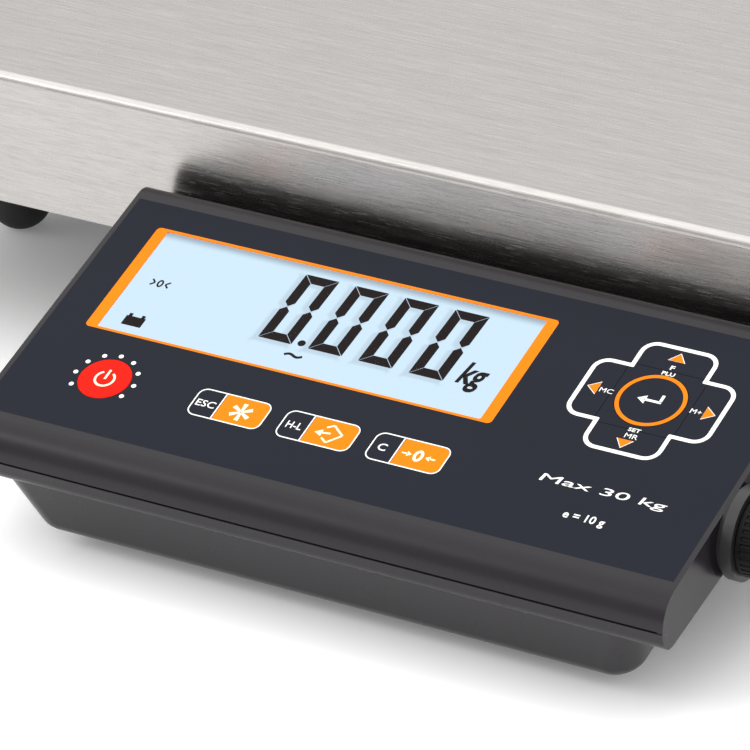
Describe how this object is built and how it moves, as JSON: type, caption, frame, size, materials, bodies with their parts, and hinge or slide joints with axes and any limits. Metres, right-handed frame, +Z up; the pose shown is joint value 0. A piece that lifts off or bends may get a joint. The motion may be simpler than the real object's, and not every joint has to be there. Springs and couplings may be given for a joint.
{
  "type": "bench platform scale",
  "caption": "Bench weighing scale: brushed steel pan on a load cell, with a low tilting indicator at the front edge.",
  "frame": {"origin": "on the floor under the middle of the whole scale", "axes": "+X across to the right seen from the front, +Y from the indicator towards the back of the pan, +Z up"},
  "size_m": [0.5, 0.5032, 0.0864],
  "materials": {
    "steel_sheet": "brushed along the width",
    "frame_paint": "dark grey powder coat",
    "zinc_steel": "zinc plated",
    "black_rubber": "moulded, matt",
    "cell_aluminium": "machined",
    "case_plastic": "fine moulded texture, slight sheen",
    "black_plastic": "moulded",
    "brass": "turned",
    "overlay_print": "printed film, satin",
    "orange_print": "printed film, satin",
    "red_key": "printed film, satin",
    "clear_window": "clear film",
    "lcd": "lit liquid-crystal cell",
    "backlight": "white light guide",
    "circuit_sheet": "polyester sheet",
    "board": "fibreglass board",
    "battery": "shrink sleeve",
    "level_fluid": "tinted fluid"
  },
  "bodies": {
    "base": {"base_frame": "frame_paint", "overload_stop_screws": "zinc_steel", "overload_stop_nuts": "zinc_steel", "foot_lock_nuts": "zinc_steel", "load_cell": "cell_aluminium", "cell_spacer_lower": "cell_aluminium", "cell_bolts_lower": "zinc_steel", "level_housing": "black_plastic", "level_vial": "level_fluid", "frame_gland": "black_plastic", "tilt_bracket": "frame_paint", "bracket_screws": "zinc_steel"},
    "platform": {"upper_frame": "frame_paint", "pan_buffers": "black_rubber", "cell_spacer_upper": "cell_aluminium", "cell_bolts_upper": "zinc_steel"},
    "pan": {"pan": "steel_sheet"},
    "indicator": {"top_case": "case_plastic", "bottom_case": "case_plastic", "end_cheek_left": "case_plastic", "end_cheek_right": "case_plastic", "case_screws": "zinc_steel", "face_overlay": "overlay_print", "display_surround": "orange_print", "display_window": "clear_window", "keypad_circuit": "circuit_sheet", "snap_domes": "zinc_steel", "lcd_glass": "lcd", "backlight": "backlight", "main_board": "board", "board_parts": "black_plastic", "battery_pack": "battery", "serial_shell": "zinc_steel", "serial_insulator": "black_plastic", "serial_jack_nuts": "zinc_steel", "power_inlet": "black_plastic", "case_gland": "black_plastic", "stud_inserts": "brass", "friction_washer": "black_rubber", "pivot_pin": "brass"},
    "knob": {"tilt_knob": "black_plastic", "tilt_stud": "brass"},
    "key_power": {"key_power": "red_key"},
    "key_escape": {"key_escape": "orange_print"},
    "key_units": {"key_units": "orange_print"},
    "key_clear": {"key_clear": "orange_print"},
    "key_up": {"key_up": "overlay_print"},
    "key_down": {"key_down": "overlay_print"},
    "key_left": {"key_left": "overlay_print"},
    "key_right": {"key_right": "overlay_print"},
    "key_enter": {"key_enter": "overlay_print"},
    "foot_front_left": {"foot_pad_front_left": "black_rubber"},
    "stud_front_left": {"foot_stud_front_left": "zinc_steel"},
    "foot_front_right": {"foot_pad_front_right": "black_rubber"},
    "stud_front_right": {"foot_stud_front_right": "zinc_steel"},
    "foot_back_left": {"foot_pad_back_left": "black_rubber"},
    "stud_back_left": {"foot_stud_back_left": "zinc_steel"},
    "foot_back_right": {"foot_pad_back_right": "black_rubber"},
    "stud_back_right": {"foot_stud_back_right": "zinc_steel"}
  },
  "joints": [
    {"name": "load_deflection", "type": "slide", "parent": "base", "child": "platform", "axis": [0, 0, -1], "range_m": [0, 0.0004], "stiffness_N_per_m": 600000, "springref_m": -0.00011, "deforming": ["load_cell"]},
    {"name": "pan_lift", "type": "slide", "parent": "platform", "child": "pan", "axis": [0, 0, 1], "range_m": [0, 0.06]},
    {"name": "indicator_tilt", "type": "hinge", "parent": "base", "child": "indicator", "pos_m": [0, -0.21167, 0.03893], "axis": [1, 0, 0], "range_deg": [-12, 10]},
    {"name": "knob_turn", "type": "hinge", "parent": "indicator", "child": "knob", "pos_m": [0.11, -0.21167, 0.03893], "axis": [1, 0, 0], "range_deg": [-360, 0]},
    {"name": "key_power_press", "type": "slide", "parent": "indicator", "child": "key_power", "axis": [0, 0.3322, -0.9432], "range_m": [0, 0.0004], "stiffness_N_per_m": 1500, "springref_m": -0.0002},
    {"name": "key_escape_press", "type": "slide", "parent": "indicator", "child": "key_escape", "axis": [0, 0.3322, -0.9432], "range_m": [0, 0.0004], "stiffness_N_per_m": 1500, "springref_m": -0.0002},
    {"name": "key_units_press", "type": "slide", "parent": "indicator", "child": "key_units", "axis": [0, 0.3322, -0.9432], "range_m": [0, 0.0004], "stiffness_N_per_m": 1500, "springref_m": -0.0002},
    {"name": "key_clear_press", "type": "slide", "parent": "indicator", "child": "key_clear", "axis": [0, 0.3322, -0.9432], "range_m": [0, 0.0004], "stiffness_N_per_m": 1500, "springref_m": -0.0002},
    {"name": "key_up_press", "type": "slide", "parent": "indicator", "child": "key_up", "axis": [0, 0.3322, -0.9432], "range_m": [0, 0.0004], "stiffness_N_per_m": 1500, "springref_m": -0.0002},
    {"name": "key_down_press", "type": "slide", "parent": "indicator", "child": "key_down", "axis": [0, 0.3322, -0.9432], "range_m": [0, 0.0004], "stiffness_N_per_m": 1500, "springref_m": -0.0002},
    {"name": "key_left_press", "type": "slide", "parent": "indicator", "child": "key_left", "axis": [0, 0.3322, -0.9432], "range_m": [0, 0.0004], "stiffness_N_per_m": 1500, "springref_m": -0.0002},
    {"name": "key_right_press", "type": "slide", "parent": "indicator", "child": "key_right", "axis": [0, 0.3322, -0.9432], "range_m": [0, 0.0004], "stiffness_N_per_m": 1500, "springref_m": -0.0002},
    {"name": "key_enter_press", "type": "slide", "parent": "indicator", "child": "key_enter", "axis": [0, 0.3322, -0.9432], "range_m": [0, 0.0004], "stiffness_N_per_m": 1500, "springref_m": -0.0002},
    {"name": "foot_front_left_extend", "type": "slide", "parent": "base", "child": "foot_front_left", "axis": [0, 0, -1], "range_m": [0, 0.0075]},
    {"name": "foot_front_left_turn", "type": "hinge", "parent": "foot_front_left", "child": "stud_front_left", "pos_m": [-0.2007, -0.06847, 0.012], "axis": [0, 0, 1], "range_deg": [0, 2160]},
    {"name": "foot_front_right_extend", "type": "slide", "parent": "base", "child": "foot_front_right", "axis": [0, 0, -1], "range_m": [0, 0.0075]},
    {"name": "foot_front_right_turn", "type": "hinge", "parent": "foot_front_right", "child": "stud_front_right", "pos_m": [0.2007, -0.06847, 0.012], "axis": [0, 0, 1], "range_deg": [0, 2160]},
    {"name": "foot_back_left_extend", "type": "slide", "parent": "base", "child": "foot_back_left", "axis": [0, 0, -1], "range_m": [0, 0.0075]},
    {"name": "foot_back_left_turn", "type": "hinge", "parent": "foot_back_left", "child": "stud_back_left", "pos_m": [-0.2007, 0.17153, 0.012], "axis": [0, 0, 1], "range_deg": [0, 2160]},
    {"name": "foot_back_right_extend", "type": "slide", "parent": "base", "child": "foot_back_right", "axis": [0, 0, -1], "range_m": [0, 0.0075]},
    {"name": "foot_back_right_turn", "type": "hinge", "parent": "foot_back_right", "child": "stud_back_right", "pos_m": [0.2007, 0.17153, 0.012], "axis": [0, 0, 1], "range_deg": [0, 2160]}
  ],
  "couplings": [
    {"joint": "foot_front_left_turn", "follows": "foot_front_left_extend", "rad_per_m": 5026.5},
    {"joint": "foot_front_right_turn", "follows": "foot_front_right_extend", "rad_per_m": 5026.5},
    {"joint": "foot_back_left_turn", "follows": "foot_back_left_extend", "rad_per_m": 5026.5},
    {"joint": "foot_back_right_turn", "follows": "foot_back_right_extend", "rad_per_m": 5026.5}
  ]
}
